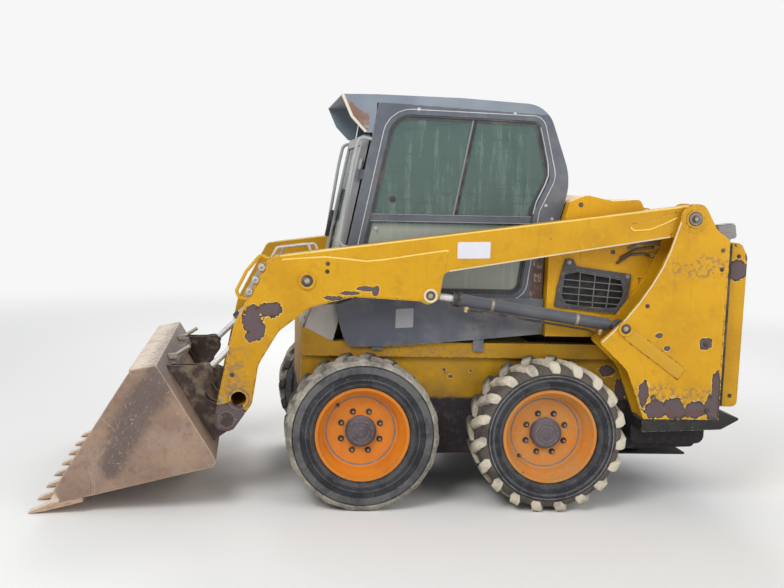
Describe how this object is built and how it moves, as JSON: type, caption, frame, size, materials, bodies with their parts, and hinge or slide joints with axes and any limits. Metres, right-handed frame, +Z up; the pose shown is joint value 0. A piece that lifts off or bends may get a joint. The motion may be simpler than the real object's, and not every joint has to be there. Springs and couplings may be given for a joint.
{
  "type": "skid steer loader",
  "caption": "Compact four-wheel loader with side lift arms pivoted at the rear, glazed cab with front door, quick coupler and toothed bucket.",
  "frame": {"origin": "on the ground, at the middle of the overall length and width", "axes": "+X towards the tailgate, +Y towards the machine's right side, +Z up"},
  "size_m": [3.3894, 1.48, 1.9757],
  "materials": {
    "yellow_paint": "worn gloss",
    "orange_paint": "dusty gloss",
    "cab_paint": "satin",
    "grey_paint": "satin",
    "black_paint": "worn satin",
    "worn_steel": "rusty",
    "rod_chrome": "polished",
    "barrel_paint": "satin",
    "tyre": "dusty",
    "glass": "tinted",
    "seat_plastic": "matte",
    "lamp_plastic": "gloss"
  },
  "bodies": {
    "chassis": {"axle_housings": "black_paint", "cab_front": "grey_paint", "cab_rear": "cab_paint", "cab_roof": "cab_paint", "cab_side_left": "cab_paint", "cab_side_right": "cab_paint", "controls": "seat_plastic", "engine_block": "black_paint", "engine_hood": "yellow_paint", "grab_bars": "grey_paint", "main_frame": "yellow_paint", "rear_bumper": "black_paint", "rear_glass": "glass", "seat": "seat_plastic", "side_glass_left": "glass", "side_glass_right": "glass", "side_grille_left": "black_paint", "side_grille_right": "black_paint", "side_panel_left": "black_paint", "side_panel_right": "black_paint", "tail_lamps": "lamp_plastic", "tailgate_hinges": "yellow_paint", "upright_left": "yellow_paint", "upright_right": "yellow_paint"},
    "boom": {"arm_left": "yellow_paint", "arm_right": "yellow_paint", "cross_tube": "yellow_paint", "tilt_bracket_left": "yellow_paint", "tilt_bracket_right": "yellow_paint", "hose_guard": "yellow_paint", "quick_couplers": "grey_paint", "boom_tubes": "grey_paint"},
    "bucket": {"coupler_frame": "black_paint", "coupler_levers": "black_paint", "bucket_shell": "worn_steel", "bucket_edge": "worn_steel"},
    "door": {"door_frame": "grey_paint", "door_glass": "glass"},
    "tailgate": {"tailgate": "yellow_paint"},
    "rear_screen": {"rear_screen": "black_paint"},
    "seat_bar": {"seat_bar": "grey_paint"},
    "lift_barrel_left": {"lift_barrel_left": "barrel_paint"},
    "lift_rod_left": {"lift_rod_left": "rod_chrome"},
    "tilt_barrel_left": {"tilt_barrel_left": "barrel_paint"},
    "tilt_rod_left": {"tilt_rod_left": "rod_chrome"},
    "wheel_front_left": {"tyre_front_left": "tyre", "rim_front_left": "orange_paint"},
    "wheel_rear_left": {"tyre_rear_left": "tyre", "rim_rear_left": "orange_paint"},
    "lift_barrel_right": {"lift_barrel_right": "barrel_paint"},
    "lift_rod_right": {"lift_rod_right": "rod_chrome"},
    "tilt_barrel_right": {"tilt_barrel_right": "barrel_paint"},
    "tilt_rod_right": {"tilt_rod_right": "rod_chrome"},
    "wheel_front_right": {"tyre_front_right": "tyre", "rim_front_right": "orange_paint"},
    "wheel_rear_right": {"tyre_rear_right": "tyre", "rim_rear_right": "orange_paint"}
  },
  "joints": [
    {"name": "wheel_front_left_spin", "type": "hinge", "parent": "chassis", "child": "wheel_front_left", "pos_m": [-0.14717, -0.567, 0.366], "axis": [0, 1, 0], "continuous": true},
    {"name": "wheel_rear_left_spin", "type": "hinge", "parent": "chassis", "child": "wheel_rear_left", "pos_m": [0.75283, -0.567, 0.366], "axis": [0, 1, 0], "continuous": true},
    {"name": "wheel_front_right_spin", "type": "hinge", "parent": "chassis", "child": "wheel_front_right", "pos_m": [-0.14717, 0.567, 0.366], "axis": [0, 1, 0], "continuous": true},
    {"name": "wheel_rear_right_spin", "type": "hinge", "parent": "chassis", "child": "wheel_rear_right", "pos_m": [0.75283, 0.567, 0.366], "axis": [0, 1, 0], "continuous": true},
    {"name": "boom_lift", "type": "hinge", "parent": "chassis", "child": "boom", "pos_m": [1.39683, 0, 1.416], "axis": [0, 1, 0], "range_deg": [-5.5, 54]},
    {"name": "bucket_tilt", "type": "hinge", "parent": "boom", "child": "bucket", "pos_m": [-0.79017, 0, 0.425], "axis": [0, 1, 0], "range_deg": [-75, 40]},
    {"name": "lift_barrel_left_swing", "type": "hinge", "parent": "chassis", "child": "lift_barrel_left", "pos_m": [1.09383, -0.56, 0.89], "axis": [0, 1, 0], "range_deg": [-6.49, 54.88]},
    {"name": "lift_rod_left_slide", "type": "slide", "parent": "lift_barrel_left", "child": "lift_rod_left", "axis": [-0.9889, 0, 0.1484], "range_m": [-0.0584, 0.5555]},
    {"name": "tilt_barrel_left_swing", "type": "hinge", "parent": "boom", "child": "tilt_barrel_left", "pos_m": [-0.42317, -0.475, 1.09], "axis": [0, 1, 0], "range_deg": [-1.74, 1.39]},
    {"name": "tilt_rod_left_slide", "type": "slide", "parent": "tilt_barrel_left", "child": "tilt_rod_left", "axis": [-0.7169, 0, -0.6971], "range_m": [-0.1397, 0.2601]},
    {"name": "lift_barrel_right_swing", "type": "hinge", "parent": "chassis", "child": "lift_barrel_right", "pos_m": [1.09383, 0.56, 0.89], "axis": [0, 1, 0], "range_deg": [-6.49, 54.88]},
    {"name": "lift_rod_right_slide", "type": "slide", "parent": "lift_barrel_right", "child": "lift_rod_right", "axis": [-0.9889, 0, 0.1484], "range_m": [-0.0584, 0.5555]},
    {"name": "tilt_barrel_right_swing", "type": "hinge", "parent": "boom", "child": "tilt_barrel_right", "pos_m": [-0.42317, 0.475, 1.09], "axis": [0, 1, 0], "range_deg": [-1.74, 1.39]},
    {"name": "tilt_rod_right_slide", "type": "slide", "parent": "tilt_barrel_right", "child": "tilt_rod_right", "axis": [-0.7169, 0, -0.6971], "range_m": [-0.1397, 0.2601]},
    {"name": "door_swing", "type": "hinge", "parent": "chassis", "child": "door", "pos_m": [-0.21198, -0.389, 1.4], "axis": [0.1952, 0, 0.9808], "range_deg": [0, 85]},
    {"name": "tailgate_swing", "type": "hinge", "parent": "chassis", "child": "tailgate", "pos_m": [1.58683, 0.589, 0.9], "axis": [0, 0, 1], "range_deg": [0, 100]},
    {"name": "rear_screen_swing", "type": "hinge", "parent": "chassis", "child": "rear_screen", "pos_m": [1.22483, 0, 1.44], "axis": [0, -1, 0], "range_deg": [0, 60]},
    {"name": "seat_bar_swing", "type": "hinge", "parent": "chassis", "child": "seat_bar", "pos_m": [0.71483, 0, 1.33008], "axis": [0, 1, 0], "range_deg": [0, 65]}
  ],
  "couplings": [
    {"joint": "lift_barrel_left_swing", "follows": "boom_lift", "ratio": 0.9977},
    {"joint": "lift_rod_left_slide", "follows": "boom_lift", "m_per_rad": 0.5873},
    {"joint": "tilt_barrel_left_swing", "follows": "bucket_tilt", "ratio": 0.0098},
    {"joint": "tilt_rod_left_slide", "follows": "bucket_tilt", "m_per_rad": -0.1972},
    {"joint": "lift_barrel_right_swing", "follows": "boom_lift", "ratio": 0.9977},
    {"joint": "lift_rod_right_slide", "follows": "boom_lift", "m_per_rad": 0.5873},
    {"joint": "tilt_barrel_right_swing", "follows": "bucket_tilt", "ratio": 0.0098},
    {"joint": "tilt_rod_right_slide", "follows": "bucket_tilt", "m_per_rad": -0.1972}
  ]
}
